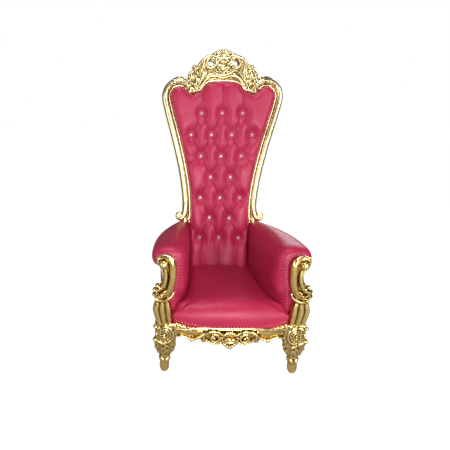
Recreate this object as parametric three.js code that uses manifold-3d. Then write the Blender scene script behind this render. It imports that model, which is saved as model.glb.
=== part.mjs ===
// A high-back ceremonial armchair: carved and gilded frame, buttoned leather back, rolled arms.
// Units are millimetres. +Z is up, the sitter faces -Y, and the origin is on the floor below the
// middle of the chair. Left and right are as seen from the front, so right is +X.

import * as THREE from "three";
import { mergeVertices } from "three/addons/utils/BufferGeometryUtils.js";
import Module from "manifold-3d";

const wasm = await Module();
wasm.setup();

// Driving dimensions of the whole chair
const ARM_SPAN = 864;
const FRONT_Y = -385;
const HEEL_Y = 385;
const GAP = 0.5;
const FINEST = 1.1;

// The leaning back. Its own frame has Z up the back and Y = 0 at the edge of the leather.
const BACK_LEAN = THREE.MathUtils.degToRad(5);
const BACK_BASE_Y = 177.5;
const CREST_TOP = 1800;
const SHOULDER = { x: 275, z: 1520, across: 82, up: 91, turn: THREE.MathUtils.degToRad(140) };
const WAIST = { x: 218, z: 813 };
const STILE_HALF_WIDTH = 27;
const STILE_END_Z = 700;
const STILE_STEPS = 26;
const VOLUTE = { x: 256, z: 730, radius: 33 };
const BACK_THICKNESS = 34;
const PAD_CROWN = 48;
const PAD_HALF_WIDTH_LOW = 193;
const PAD_BOTTOM = 345;
const PANEL_HALF_WIDTH_LOW = 288;
const PANEL_BOTTOM = 304;

// Buttons on a diamond grid: each row says how many half pitches its buttons are from the middle
const BUTTON_TOP_Z = 1416;
const BUTTON_ROW_DROP = 135.5;
const BUTTON_HALF_PITCH = 65;
const BUTTON_ROWS = [
  [-2, 0, 2],
  [-3, -1, 1, 3],
  [-2, 0, 2],
  [-1, 1],
  [-2, 0, 2],
  [-1, 1],
  [-2, 0, 2],
];
const BUTTON_RADIUS = 11;
const BUTTON_TABLE_RADIUS = 7;
const BUTTON_HEIGHT = 9;
const BUTTON_FACETS = 8;
const TUFT_FLOOR = 14;
const TUFT_RADIUS = 33;

// Front posts, apron and seat
const POST_FRONT_Y = -373;
const POST_BACK_Y = -311;
const BOSS = { x: 364, z: 652, radius: 23 };
const BLOCK_TOP = 305;
const APRON_FRONT_Y = -362;
const APRON_THICKNESS = 40;
const APRON_HALF_LENGTH = 287;
const SEAT_BOTTOM = 291;
const SEAT_TOP = 408;
const SEAT_REAR_Y = 158;
const SEAT_FRONT_HALF_WIDTH = 308;

// Rolled arms, from the front end to the end against the back
const ARM_FRONT = { inner: 239, outer: ARM_SPAN / 2, top: 731, panel: 378 };
const ARM_REAR = { inner: 195.5, outer: 292, top: 717, panel: 284 };
const ARM_FRONT_Y = POST_BACK_Y + GAP;
const ARM_BOTTOM = BLOCK_TOP + GAP;
const ARM_ROLL_UNDER = 612;
const ARM_BOW = 1.5;
const ARM_FLARE = { out: 48, from: 490, to: 415, fade: 6 };
const ARM_STATIONS = 7;
const ARM_RING_POINTS = 24;
const ARM_BACK_CLEARANCE = 22;

const GILT = new THREE.MeshStandardMaterial({ color: 0xc8a04a, roughness: 0.28, metalness: 1 });
const LEATHER = new THREE.MeshStandardMaterial({ color: 0xc03558, roughness: 0.42, metalness: 0 });
const CRYSTAL = new THREE.MeshStandardMaterial({ color: 0xf3e3e8, roughness: 0.08, metalness: 0 });

// Solids: helpers that join, cut and loft

function solidOf(geometry) {
  const bare = geometry.index ? geometry.toNonIndexed() : geometry.clone();
  bare.deleteAttribute("normal");
  bare.deleteAttribute("uv");
  const merged = mergeVertices(bare, 1e-3);
  const vertProperties = merged.attributes.position.array;
  const triVerts = new Uint32Array(merged.index.array);
  return new wasm.Manifold(new wasm.Mesh({ numProp: 3, vertProperties, triVerts }));
}

function geometryOf(solid) {
  const mesh = solid.getMesh();
  const geometry = new THREE.BufferGeometry();
  geometry.setAttribute("position", new THREE.BufferAttribute(mesh.vertProperties, 3));
  geometry.setIndex(new THREE.BufferAttribute(mesh.triVerts, 1));
  geometry.computeVertexNormals();
  return geometry;
}

function joined(geometries) {
  return geometries.map(solidOf).reduce((whole, piece) => whole.add(piece)).simplify(FINEST);
}

// Triangles that close a flat ring, as indices into the ring
function capOf(ring) {
  const normal = new THREE.Vector3();
  ring.forEach((point, i) => normal.add(point.clone().cross(ring[(i + 1) % ring.length])));
  const size = normal.toArray().map(Math.abs);
  const drop = size.indexOf(Math.max(...size));
  const kept = (_, axis) => axis !== drop;
  const flat = ring.map((point) => new THREE.Vector2(...point.toArray().filter(kept)));
  const triangles = THREE.ShapeUtils.triangulateShape(flat, []);
  const [a, b, c] = triangles[0].map((i) => ring[i]);
  const facing = b.clone().sub(a).cross(c.clone().sub(a)).dot(normal);
  return facing > 0 ? triangles : triangles.map((triangle) => [...triangle].reverse());
}

// A closed solid through rings that all have the same number of points
function loft(rings) {
  const size = rings[0].length;
  const last = (rings.length - 1) * size;
  const triangles = [];
  for (let start = 0; start < last; start += size) {
    for (let i = 0; i < size; i++) {
      const a = start + i;
      const b = start + ((i + 1) % size);
      triangles.push([a, b, b + size], [a, b + size, a + size]);
    }
  }
  capOf(rings[0]).forEach(([a, b, c]) => triangles.push([a, c, b]));
  capOf(rings.at(-1)).forEach((triangle) => triangles.push(triangle.map((i) => i + last)));
  const points = rings.flat();
  const volume = triangles.reduce(
    (sum, [a, b, c]) => sum + points[a].dot(points[b].clone().cross(points[c])),
    0,
  );
  const facing = volume > 0 ? triangles : triangles.map((triangle) => [...triangle].reverse());
  return new THREE.BufferGeometry().setFromPoints(points).setIndex(facing.flat());
}

// A board whose outline is drawn in X and Z, from its back face at backY forwards
function board(shape, backY, thickness, bevel) {
  const geometry = new THREE.ExtrudeGeometry(shape, {
    depth: thickness - 2 * bevel,
    bevelEnabled: bevel > 0,
    bevelThickness: bevel,
    bevelSize: bevel,
    bevelOffset: -bevel,
    bevelSegments: 1,
    curveSegments: 6,
  });
  return geometry.translate(0, 0, bevel).rotateX(Math.PI / 2).translate(0, backY, 0);
}

// A rounded lump: an ellipsoid with its half sizes along X, Y and Z
function lump(x, y, z, across, deep, tall) {
  return new THREE.SphereGeometry(1, 8, 5).scale(across, deep, tall).translate(x, y, z);
}

// A bar that follows points in X and Z. The section is pairs of distance outwards and depth.
function sweep(points, section) {
  const rings = points.map((point, i) => {
    const before = points[Math.max(i - 1, 0)];
    const after = points[Math.min(i + 1, points.length - 1)];
    const along = after.clone().sub(before).normalize();
    return section.map(([out, deep]) => new THREE.Vector3(
      point.x - along.y * out,
      deep,
      point.y + along.x * out,
    ));
  });
  return loft(rings);
}

function roundSection(radius, backY, sides = 8) {
  return Array.from({ length: sides }, (_, i) => {
    const angle = (i / sides) * 2 * Math.PI;
    return [radius * Math.cos(angle), backY + radius * Math.sin(angle)];
  });
}

function points2(pairs) {
  return pairs.map(([x, z]) => new THREE.Vector2(x, z));
}

function smooth(pairs, count) {
  return new THREE.SplineCurve(points2(pairs)).getPoints(count);
}

// The whole outline of a symmetric shape from its right half, listed from the middle outwards
function bothHalves(right) {
  const left = right.filter((point) => point.x > 0).map((point) => new THREE.Vector2(-point.x, point.y));
  return new THREE.Shape([...right, ...left.reverse()]);
}

// The back: stiles, crest, buttoned pad and outside panel, all in the leaning frame

function stilePoints() {
  const path = new THREE.Path();
  const { x, z, across, up, turn } = SHOULDER;
  path.absellipse(x, z, across, up, turn, 0, true);
  path.bezierCurveTo(x + across, z - 65, WAIST.x + 4, z - 436, WAIST.x, WAIST.z);
  path.lineTo(WAIST.x + 4, STILE_END_Z);
  return path.getSpacedPoints(STILE_STEPS);
}

// The stile's moulding: an inner bead, a groove and a broad crown. Positive is outwards.
function stileSection(grow = 0) {
  const half = STILE_HALF_WIDTH + grow;
  const front = -grow;
  return [
    [-half, BACK_THICKNESS + grow],
    [-half, front - 6],
    [-22, front - 11],
    [-17, front - 5],
    [-7, front - 16],
    [4, front - 20],
    [15, front - 16],
    [22, front - 8],
    [half, 4],
    [half, BACK_THICKNESS + grow],
  ];
}

function stile() {
  const volute = new THREE.CylinderGeometry(VOLUTE.radius, VOLUTE.radius, BACK_THICKNESS + 16, 20);
  volute.translate(VOLUTE.x, BACK_THICKNESS / 2 - 8, VOLUTE.z);
  const leafOnShoulder = lump(262, 4, 1622, 40, 20, 14);
  return joined([
    sweep(stilePoints(), stileSection()),
    volute,
    lump(VOLUTE.x, -14, VOLUTE.z, 16, 8, 16),
    leafOnShoulder,
  ]);
}

const CREST_THICKNESS = 50;
const CREST_BEVEL = 5;
const UNDERSIDE_STEPS = 10;
const CREST_UNDERSIDE = [
  [0, 1612],
  [70, 1609],
  [111, 1592],
  [127, 1569],
  [152, 1552],
  [192, 1531],
];

// The two halves of the crest's outline meet in a short straight line at the lower middle
function crestShape() {
  const top = smooth([[0, CREST_TOP], [62, 1787], [113, 1762], [144, 1733], [163, 1703]], 10);
  const side = smooth([[180, 1690], [206, 1656], [214, 1626], [192, 1596]], 6);
  const underside = smooth([...CREST_UNDERSIDE].reverse(), UNDERSIDE_STEPS);
  const right = [...top, ...side, new THREE.Vector2(222, 1558), ...underside];
  const shape = bothHalves(right.slice(0, -1));
  shape.autoClose = true;
  for (const side of [-1, 1]) {
    const hole = new THREE.Path();
    hole.absellipse(side * 76, 1727, 20, 18, 0, 2 * Math.PI);
    shape.holes.push(hole);
  }
  return shape;
}

function crestBody() {
  return board(crestShape(), BACK_THICKNESS - 4, CREST_THICKNESS, CREST_BEVEL);
}

function crestOrnaments() {
  const front = -20;
  const pieces = [
    lump(0, front, 1727, 28, 12, 13),
    lump(0, front, 1686, 40, 10, 34),
  ];
  const fanLobes = 7;
  for (let i = 0; i < fanLobes; i++) {
    const angle = (i / (fanLobes - 1) - 0.5) * 2;
    const lobe = new THREE.SphereGeometry(1, 8, 5).scale(8, 8, 22).translate(0, 0, 24);
    pieces.push(lobe.rotateY(angle).translate(0, front, 1748));
  }
  const rib = smooth([[196, 1600], [166, 1660], [140, 1712], [104, 1748], [68, 1752], [47, 1722]], 16);
  for (const side of [-1, 1]) {
    const placed = rib.map((point) => new THREE.Vector2(side * point.x, point.y));
    pieces.push(
      sweep(placed, roundSection(9, front + 1, 6)),
      lump(side * 178, 0, 1694, 17, 22, 17),
      lump(side * 196, front + 2, 1566, 14, 14, 24),
      lump(side * 172, front + 2, 1588, 20, 12, 22),
    );
  }
  return pieces;
}

function crest() {
  const room = sweep(stilePoints(), stileSection(1));
  const mirroredRoom = sweep(
    stilePoints().map((point) => new THREE.Vector2(-point.x, point.y)),
    stileSection(1).map(([out, deep]) => [-out, deep]),
  );
  const body = joined([crestBody(), ...crestOrnaments()]);
  const clear = body.subtract(solidOf(room)).subtract(solidOf(mirroredRoom)).simplify(FINEST);
  return clear.decompose().reduce((a, b) => (a.volume() > b.volume() ? a : b));
}

// The right half of the leather's edge inside the frame, from the top middle down to the waist
function leatherEdge(inset) {
  const reach = STILE_HALF_WIDTH + inset;
  const path = stilePoints();
  const beside = path.map((point, i) => {
    const before = path[Math.max(i - 1, 0)];
    const after = path[Math.min(i + 1, path.length - 1)];
    const along = after.clone().sub(before).normalize();
    return new THREE.Vector2(point.x + along.y * reach, point.y - along.x * reach);
  });
  const drop = new THREE.Vector2(0, -inset);
  const under = smooth(CREST_UNDERSIDE, UNDERSIDE_STEPS).map((point) => point.clone().add(drop));
  return [...under, ...beside.slice(1)];
}

function buttonPlaces() {
  return BUTTON_ROWS.flatMap((row, k) => row.map((step) => ({
    x: step * BUTTON_HALF_PITCH,
    z: BUTTON_TOP_Z - k * BUTTON_ROW_DROP,
  })));
}

function backPad() {
  const edge = leatherEdge(3);
  const low = points2([[PAD_HALF_WIDTH_LOW, STILE_END_Z - 12], [PAD_HALF_WIDTH_LOW, PAD_BOTTOM]]);
  const body = solidOf(board(bothHalves([...edge, ...low]), -GAP, PAD_CROWN - GAP, 14));
  const tufts = buttonPlaces().map(({ x, z }) => {
    const depth = PAD_CROWN - TUFT_FLOOR;
    const cone = new THREE.CylinderGeometry(BUTTON_RADIUS + 2, TUFT_RADIUS, depth, 7);
    return cone.translate(x, -TUFT_FLOOR - depth / 2, z);
  });
  return tufts.reduce((pad, tuft) => pad.subtract(solidOf(tuft)), body);
}

function backPanel() {
  const edge = leatherEdge(3);
  const low = points2([
    [PAD_HALF_WIDTH_LOW, 690],
    [PANEL_HALF_WIDTH_LOW, 684],
    [PANEL_HALF_WIDTH_LOW - 6, PANEL_BOTTOM],
  ]);
  return solidOf(board(bothHalves([...edge, ...low]), BACK_THICKNESS + 4, BACK_THICKNESS + 4, 0));
}

function button() {
  const profile = points2([
    [0, 0],
    [BUTTON_RADIUS, 0],
    [BUTTON_TABLE_RADIUS, BUTTON_HEIGHT],
    [0, BUTTON_HEIGHT],
  ]);
  return new THREE.LatheGeometry(profile, BUTTON_FACETS).rotateX(Math.PI);
}

// Front posts: leg, block, reeded support and scroll in one piece of wood

function superellipse(cx, cy, halfX, halfY, z, count = 12) {
  return Array.from({ length: count }, (_, i) => {
    const angle = ((i + 0.5) / count) * 2 * Math.PI;
    const c = Math.cos(angle);
    const s = Math.sin(angle);
    const x = cx + halfX * Math.sign(c) * Math.sqrt(Math.abs(c));
    const y = cy + halfY * Math.sign(s) * Math.sqrt(Math.abs(s));
    return new THREE.Vector3(x, y, z);
  });
}

// Height, middle in X and Y, and half sizes in X and Y, from the foot up to the block
function leg() {
  const stations = [
    [0, 357, -338, 15, 15],
    [14, 357, -340, 20, 21],
    [44, 357, -342, 23, 23],
    [66, 356, -341, 20, 20],
    [84, 355, -340, 32, 30],
    [120, 355, -337, 42, 37],
    [172, 353, -334, 54, 42],
    [196, 351.5, -331, 62, 44],
    [BLOCK_TOP, 351.5, -331, 62, 44],
  ];
  return loft(stations.map(([z, x, y, halfX, halfY]) => superellipse(x, y, halfX, halfY, z)));
}

// The swelling support between block and scroll, with three reeds on its face
function reededSupport() {
  const stations = [
    [BLOCK_TOP - 20, 357, 44],
    [BLOCK_TOP + 20, 361, 46],
    [385, 370, 47.5],
    [415, 373, 44],
    [446, 374, 34],
  ];
  const across = 12;
  return loft(stations.map(([z, middle, half]) => {
    const face = Array.from({ length: across + 1 }, (_, i) => {
      const u = (2 * i) / across - 1;
      const crown = 14 * Math.sqrt(1 - 0.9 * u * u);
      const reed = 6 * Math.abs(Math.cos(1.5 * Math.PI * u));
      return new THREE.Vector3(middle + half * u, -354 - crown - reed, z);
    });
    const back = [1, -1].map((u) => new THREE.Vector3(middle + half * u, POST_BACK_Y, z));
    return [...face, ...back];
  }));
}

function postScroll() {
  const outline = [
    [346, 436],
    [318, 490],
    [305, 548],
    [299, 612],
    [303, 652],
    [320, 682],
    [349, 691],
    [382, 683],
    [399, 652],
    [389, 621],
    [377, 585],
    [379, 540],
    [400, 508],
    [415, 472],
    [404, 438],
    [374, 427],
  ];
  const shape = new THREE.Shape(smooth([...outline, outline[0]], 30).slice(0, -1));
  return board(shape, POST_BACK_Y, POST_BACK_Y - POST_FRONT_Y, 7);
}

function postScrollRim() {
  const path = [
    [392, 432],
    [352, 446],
    [326, 492],
    [313, 550],
    [308, 612],
    [314, 650],
    [332, 676],
    [358, 680],
    [383, 668],
  ];
  return sweep(smooth(path, 14), roundSection(9, POST_FRONT_Y + 2, 6));
}

function postOrnaments() {
  const face = POST_FRONT_Y;
  const pieces = [
    lump(BOSS.x, face, BOSS.z, BOSS.radius, 12, BOSS.radius),
    lump(348, FRONT_Y + 16, 246, 44, 12, 50),
  ];
  const leaves = 4;
  for (let i = 0; i < leaves; i++) {
    const along = i / (leaves - 1);
    pieces.push(lump(384 + 18 * along, face + 4, 512 - 62 * along, 17, 13, 15));
  }
  for (const side of [-1, 1]) {
    pieces.push(lump(356 + side * 30, -362, 152, 14, 12, 24));
  }
  return pieces;
}

function frontPost() {
  return joined([leg(), reededSupport(), postScroll(), postScrollRim(), ...postOrnaments()]);
}

// Front apron with its scalloped lower edge, cabochon and leaf lobes

function apron() {
  const top = points2([[0, SEAT_BOTTOM - 1], [APRON_HALF_LENGTH, SEAT_BOTTOM - 1]]);
  const bottom = smooth(
    [
      [APRON_HALF_LENGTH, 221],
      [240, 220],
      [206, 197],
      [182, 214],
      [152, 219],
      [118, 192],
      [93, 180],
      [66, 180],
      [44, 184],
      [24, 166],
      [0, 153],
    ],
    26,
  );
  const shape = bothHalves([...top, ...bottom]);
  const pieces = [
    board(shape, APRON_FRONT_Y + APRON_THICKNESS, APRON_THICKNESS, 4),
    lump(0, APRON_FRONT_Y, 216, 42, -FRONT_Y + APRON_FRONT_Y, 20),
  ];
  const reach = APRON_HALF_LENGTH - 1;
  const lip = smooth([[-reach, 281], [-reach / 2, 274], [0, 270], [reach / 2, 274], [reach, 281]], 8);
  pieces.push(sweep(lip, roundSection(7, APRON_FRONT_Y, 6)));
  for (const side of [-1, 1]) {
    pieces.push(
      lump(side * 92, APRON_FRONT_Y, 206, 34, 14, 20),
      lump(side * 206, APRON_FRONT_Y, 206, 20, 9, 9),
      lump(side * 30, APRON_FRONT_Y, 250, 22, 10, 12),
    );
  }
  return joined(pieces);
}

// Plain rails and back legs

function sideRail() {
  const bottom = 226;
  const halfThickness = 20;
  const front = { x: 345, y: -286 };
  const rear = { x: 262, y: 176 };
  const rings = [front, rear].map(({ x, y }) => [
    new THREE.Vector3(x - halfThickness, y, bottom),
    new THREE.Vector3(x + halfThickness, y, bottom),
    new THREE.Vector3(x + halfThickness, y, BLOCK_TOP),
    new THREE.Vector3(x - halfThickness, y, BLOCK_TOP),
  ]);
  return loft(rings);
}

function backRail() {
  const size = { length: 450, thickness: 40, height: 72 };
  const middle = { y: 203, z: 263 };
  const bar = new THREE.BoxGeometry(size.length, size.thickness, size.height);
  return bar.translate(0, middle.y, middle.z);
}

// A sabre leg that sweeps back to the heel
function backLeg() {
  const steps = 7;
  const top = { z: 299, x: 256, y: 202, half: 26 };
  const foot = { x: 264, half: 20 };
  const sweepBack = HEEL_Y - foot.half - top.y;
  return loft(Array.from({ length: steps + 1 }, (_, i) => {
    const down = i / steps;
    const x = THREE.MathUtils.lerp(top.x, foot.x, down);
    const y = top.y + sweepBack * down ** 1.4;
    const half = THREE.MathUtils.lerp(top.half, foot.half, down);
    return superellipse(x, y, half, half, top.z * (1 - down), 12);
  }));
}

// Upholstered seat and arms

// How far the lower front of an arm's inner face stands back to make room for the seat's corner
function armFlare(share, z) {
  const low = THREE.MathUtils.smoothstep(ARM_FLARE.from - z, 0, ARM_FLARE.from - ARM_FLARE.to);
  return ARM_FLARE.out * low * Math.exp(-ARM_FLARE.fade * share);
}

// The seat spreads in front of the arms and narrows between them towards the back
function seatPad() {
  const innerAt = (share) => {
    const straight = THREE.MathUtils.lerp(ARM_FRONT.inner, ARM_REAR.inner, share);
    return straight + armFlare(share, SEAT_TOP) - 4;
  };
  const front = points2([
    [0, -374],
    [160, -371],
    [SEAT_FRONT_HALF_WIDTH - 22, -362],
    [SEAT_FRONT_HALF_WIDTH, -345],
    [SEAT_FRONT_HALF_WIDTH, POST_BACK_Y - 2],
  ]);
  const beside = [0, 0.08, 0.18, 0.35, 0.9].map((share) => {
    const y = THREE.MathUtils.lerp(POST_BACK_Y - 2, 206, share);
    return new THREE.Vector2(innerAt(share), Math.min(y, SEAT_REAR_Y));
  });
  const right = [...front, ...beside];
  const soft = 16;
  const geometry = new THREE.ExtrudeGeometry(bothHalves(right), {
    depth: SEAT_TOP - SEAT_BOTTOM - 2 * soft,
    bevelThickness: soft,
    bevelSize: soft,
    bevelOffset: -soft,
    bevelSegments: 2,
  });
  const whole = solidOf(geometry.translate(0, 0, SEAT_BOTTOM + soft));
  return [-1, 1].reduce((seat, side) => seat.subtract(solidOf(roomOverBlock(side))), whole);
}

// The corner of the seat that is left out where the post's block stands below it
function roomOverBlock(side) {
  const size = { across: 100, deep: 120, height: 40 };
  const room = new THREE.BoxGeometry(size.across, size.deep, size.height);
  const x = side * (APRON_HALF_LENGTH + size.across / 2);
  return room.translate(x, POST_FRONT_Y + 40, BLOCK_TOP + 1 - size.height / 2);
}

function armSection(share) {
  const mix = (key, power = 1) => THREE.MathUtils.lerp(ARM_FRONT[key], ARM_REAR[key], share ** power);
  const inner = mix("inner");
  const outer = mix("outer", ARM_BOW);
  const panel = mix("panel", ARM_BOW);
  const top = mix("top");
  const middle = (inner + outer) / 2;
  const outline = new THREE.Shape();
  outline.moveTo(inner, ARM_BOTTOM);
  outline.lineTo(inner, top - 80);
  outline.bezierCurveTo(inner, top - 20, inner + 30, top, middle, top);
  outline.bezierCurveTo(outer - 18, top, outer, top - 32, outer, top - 68);
  outline.bezierCurveTo(outer, ARM_ROLL_UNDER + 10, panel + 22, ARM_ROLL_UNDER, panel, ARM_ROLL_UNDER);
  outline.lineTo(panel, ARM_BOTTOM);
  outline.closePath();
  const rearY = (z) => BACK_BASE_Y + z * Math.tan(BACK_LEAN) - ARM_BACK_CLEARANCE / Math.cos(BACK_LEAN);
  const ring = outline.getSpacedPoints(ARM_RING_POINTS).slice(0, -1);
  return ring.map(({ x, y: z }) => {
    const y = THREE.MathUtils.lerp(ARM_FRONT_Y, rearY(z), share);
    const flare = x < middle ? armFlare(share, z) * (panel - x) / (panel - inner) : 0;
    return new THREE.Vector3(x + flare, y, z);
  });
}

function arm() {
  return loft(Array.from({ length: ARM_STATIONS + 1 }, (_, i) => armSection(i / ARM_STATIONS)));
}

// Assembly

function meshOf(name, shape, material) {
  const geometry = shape instanceof wasm.Manifold ? geometryOf(shape) : shape;
  const mesh = new THREE.Mesh(geometry, material);
  mesh.name = name;
  return mesh;
}

// The right piece as modelled and its mirror image on the left
function pair(name, shape, material) {
  const right = meshOf(`${name}_right`, shape, material);
  const left = meshOf(`${name}_left`, shape, material);
  left.scale.x = -1;
  return [left, right];
}

function buildBack() {
  const back = new THREE.Group();
  back.position.y = BACK_BASE_Y;
  back.rotation.x = -BACK_LEAN;
  back.add(
    ...pair("back_stile", stile(), GILT),
    meshOf("crest_rail", crest(), GILT),
    meshOf("back_pad", backPad(), LEATHER),
    meshOf("outside_back", backPanel(), LEATHER),
  );
  buttonPlaces().forEach(({ x, z }, i) => {
    const mesh = meshOf(`back_button_${String(i + 1).padStart(2, "0")}`, button(), CRYSTAL);
    mesh.position.set(x, -TUFT_FLOOR - GAP, z);
    back.add(mesh);
  });
  return back;
}

const chair = new THREE.Group();
chair.add(
  buildBack(),
  ...pair("front_post", frontPost(), GILT),
  meshOf("front_apron", apron(), GILT),
  ...pair("side_rail", sideRail(), GILT),
  meshOf("back_rail", backRail(), GILT),
  ...pair("back_leg", backLeg(), GILT),
  meshOf("seat_pad", seatPad(), LEATHER),
  ...pair("arm_pad", arm(), LEATHER),
);

export default chair;
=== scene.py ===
"""A gilded high-back armchair: carved gold, buttoned leather, nail heads and crystal buttons."""
from math import cos, pi, radians, sin, tan

import bmesh
import bpy
import numpy as np
from mathutils import Matrix, Vector
from mathutils.bvhtree import BVHTree
from mathutils.geometry import tessellate_polygon


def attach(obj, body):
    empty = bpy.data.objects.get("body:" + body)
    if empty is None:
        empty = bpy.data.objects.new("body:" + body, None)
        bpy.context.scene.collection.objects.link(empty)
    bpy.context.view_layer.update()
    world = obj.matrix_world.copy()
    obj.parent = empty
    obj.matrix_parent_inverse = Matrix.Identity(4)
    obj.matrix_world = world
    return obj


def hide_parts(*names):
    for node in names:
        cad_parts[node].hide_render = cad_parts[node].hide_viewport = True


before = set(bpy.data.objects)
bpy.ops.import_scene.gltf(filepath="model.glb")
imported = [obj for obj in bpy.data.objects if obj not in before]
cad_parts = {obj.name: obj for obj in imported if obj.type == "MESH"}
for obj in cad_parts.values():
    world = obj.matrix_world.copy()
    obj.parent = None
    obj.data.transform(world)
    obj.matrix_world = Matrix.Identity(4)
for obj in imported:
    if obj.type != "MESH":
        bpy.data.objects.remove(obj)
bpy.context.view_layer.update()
scene = bpy.context.scene
MM = 0.001

# The leaning back: its own frame has Z up the back and Y = 0 at the edge of the leather
BACK_LEAN = radians(5)
BACK_BASE_Y = 177.5
BACK = Matrix.Translation((0, BACK_BASE_Y * MM, 0)) @ Matrix.Rotation(-BACK_LEAN, 4, "X")
SHOULDER = (275, 1520, 82, 91)
SHOULDER_TURN = radians(140)
WAIST = (218, 813)
STILE_HALF = 27
STILE_END_Z = 700
STILE_STEPS = 150
BACK_THICKNESS = 34
CREST_UNDERSIDE = [(0, 1612), (70, 1609), (111, 1592), (127, 1569), (152, 1552), (192, 1531)]
PAD_HALF_LOW = 204
PAD_BOTTOM = 345
PAD_TUCK = 9

# Buttons on a diamond grid, as half pitches from the middle in each row
BUTTON_TOP_Z = 1416
BUTTON_ROW_DROP = 135.5
BUTTON_HALF_PITCH = 65
BUTTON_ROWS = [(-2, 0, 2), (-3, -1, 1, 3), (-2, 0, 2), (-1, 1), (-2, 0, 2), (-1, 1), (-2, 0, 2)]
# Folds to the side edges: row, half pitches, where the fold ends in X, its rise, and its strength
EDGE_FOLDS = [
    (1, 3, 300, -14, 0.8), (2, 2, 230, -62, 0.7), (2, 2, 230, 10, 0.4), (4, 2, 215, -40, 0.5),
    (4, 2, 215, 34, 0.35), (6, 2, 200, 92, 0.8), (6, 2, 196, -56, 0.55),
]
TUFT_FLOOR = 13
PAD_CROWN = 45
EDGE_ROLL = 42
FOLD_DEPTH = 28
FOLD_CREASE = 3.4
FOLD_SPREAD = 32
WELL_FLAT = 9
WELL_REACH = 27
GATHER_RADIUS = 30
GATHER_WIDTH = 17

# Distances between nail heads
NAIL_GAP = 17
BACK_NAIL_GAP = 13
REAR_NAIL_GAP = 15

# Arms and seat
ARM_FRONT = dict(inner=241, outer=430, top=731, panel=378)
ARM_REAR = dict(inner=196, outer=290, top=716, panel=283)
ARM_FRONT_Y = -316
ARM_BOTTOM = 307
ARM_ROLL_UNDER = 612
ARM_FLARE = 48
ARM_RING_POINTS = 64
ROLL_MIDDLE = (345, 620)
SEAT_LOW = 288
SEAT_TOP = 404
SEAT_REAR_Y = 220
SEAT_EDGE_RISE = 32

# How finely each piece is made: voxels of carving and stuffing, cloth steps, grids of flat leather
STILE_VOXEL = 2.2
CREST_VOXEL = 2.1
POST_VOXEL = 2.35
APRON_VOXEL = 2.3
STUFFED_VOXEL = 5.0
CLOTH_FRAMES = 15
PAD_GRID = 3.1
PANEL_GRID = 9.0
SEAT_GRID = 6.0

# The camera of the photograph, fitted to the chair, in metres
CAMERA_PLACE = (-0.343, -2.135, 1.418)
CAMERA_DOWN = 13.94
CAMERA_TURN = 1.37
CAMERA_LENS = 29.36
CAMERA_SHIFT = (0.146, -0.0476)

# Soft boxes, in metres: name, place, aim, size and watts
LIGHTS = [
    ("key", (2.2, -2.2, 2.0), (0, 0, 0.7), (1.3, 1.3), 42),
    ("front", (0.3, -3.0, 1.0), (0, 0, 0.5), (0.7, 1.6), 58),
    ("front_high", (0.2, -2.9, 2.7), (0, 0.1, 1.8), (2.4, 0.5), 6),
    ("fill", (-2.6, -1.8, 1.5), (0, 0, 0.6), (0.9, 1.8), 22),
    ("low_left", (-1.5, -2.2, 0.7), (-0.2, -0.3, 0.4), (0.25, 1.2), 8),
    ("low_right", (1.7, -1.9, 0.7), (0.2, -0.3, 0.4), (0.25, 1.2), 8),
    ("top", (-0.3, -0.7, 3.3), (0, -0.2, 0.5), (1.4, 0.8), 27),
    ("behind", (1.6, 3.0, 2.4), (0, 0, 0.9), (2.0, 2.0), 44),
]

# Floor and backdrop: how bright they are in the picture, and how much they light the chair
BACKDROP_SEEN = 1.0
BACKDROP_LIGHT = 0.17
FLOOR_SEEN = 0.95
FLOOR_LIGHT = 0.2
FLOOR_REACH = 30
FLOOR_DROP = 0.001

# Gold leaf tones along Pointiness: painted shade in the hollows, lighter painted shade, the faces' own
# tone, and a painted highlight on sharp edges
# The upper gold is a lit copy and the lower gold a shaded copy of the same gold leaf: painted light, paler
# on the crest and stiles, darker on the posts, apron, rails and legs
LIT_UPPER_GOLD = [(0.07, 0.035, 0.008), (0.34, 0.23, 0.075), (0.70, 0.56, 0.28), (0.98, 0.91, 0.70)]
SHADED_LOWER_GOLD = [(0.035, 0.017, 0.004), (0.21, 0.125, 0.03), (0.66, 0.46, 0.155), (0.98, 0.85, 0.52)]
GOLD_STOPS = (0.43, 0.48, 0.508, 0.56)
LIT_UPPER_GOLD_ROUGHNESS = (0.18, 0.30)
SHADED_LOWER_GOLD_ROUGHNESS = (0.12, 0.20)

# Pairs of tones and of roughness that the other materials vary between
LEATHER_TONES = [(0.32, (0.325, 0.0135, 0.046)), (0.68, (0.39, 0.0175, 0.058))]
# Painted shade in the leather's creases, multiplied into its colour along Pointiness
LEATHER_CREASE_SHADE = [(0.43, (0.36, 0.30, 0.32)), (0.494, (1, 1, 1))]
LEATHER_ROUGHNESS = (0.30, 0.42)
CRYSTAL_TONES = [(0.35, (0.30, 0.13, 0.17)), (0.65, (0.62, 0.38, 0.43))]
CRYSTAL_ROUGHNESS = (0.06, 0.16)
BRASS_TONES = [(0.35, (0.48, 0.26, 0.19)), (0.65, (0.72, 0.48, 0.36))]
BRASS_ROUGHNESS = (0.22, 0.38)
FLOOR_TONES = [(0.3, (0.27, 0.27, 0.265)), (0.7, (0.3, 0.3, 0.295))]


# Camera, light and floor

def add_camera():
    data = bpy.data.cameras.new("camera")
    data.sensor_width = 36
    data.lens = CAMERA_LENS
    data.shift_x, data.shift_y = CAMERA_SHIFT
    camera = bpy.data.objects.new("camera", data)
    camera.location = CAMERA_PLACE
    camera.rotation_euler = (radians(90 - CAMERA_DOWN), 0, radians(CAMERA_TURN))
    scene.collection.objects.link(camera)
    scene.camera = camera


def add_light(name, place, aim, size, watts):
    data = bpy.data.lights.new(name, "AREA")
    data.shape = "RECTANGLE"
    data.size, data.size_y = size
    data.energy = watts
    light = bpy.data.objects.new(name, data)
    light.location = place
    light.rotation_euler = (Vector(aim) - Vector(place)).to_track_quat("-Z", "Y").to_euler()
    scene.collection.objects.link(light)


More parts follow.
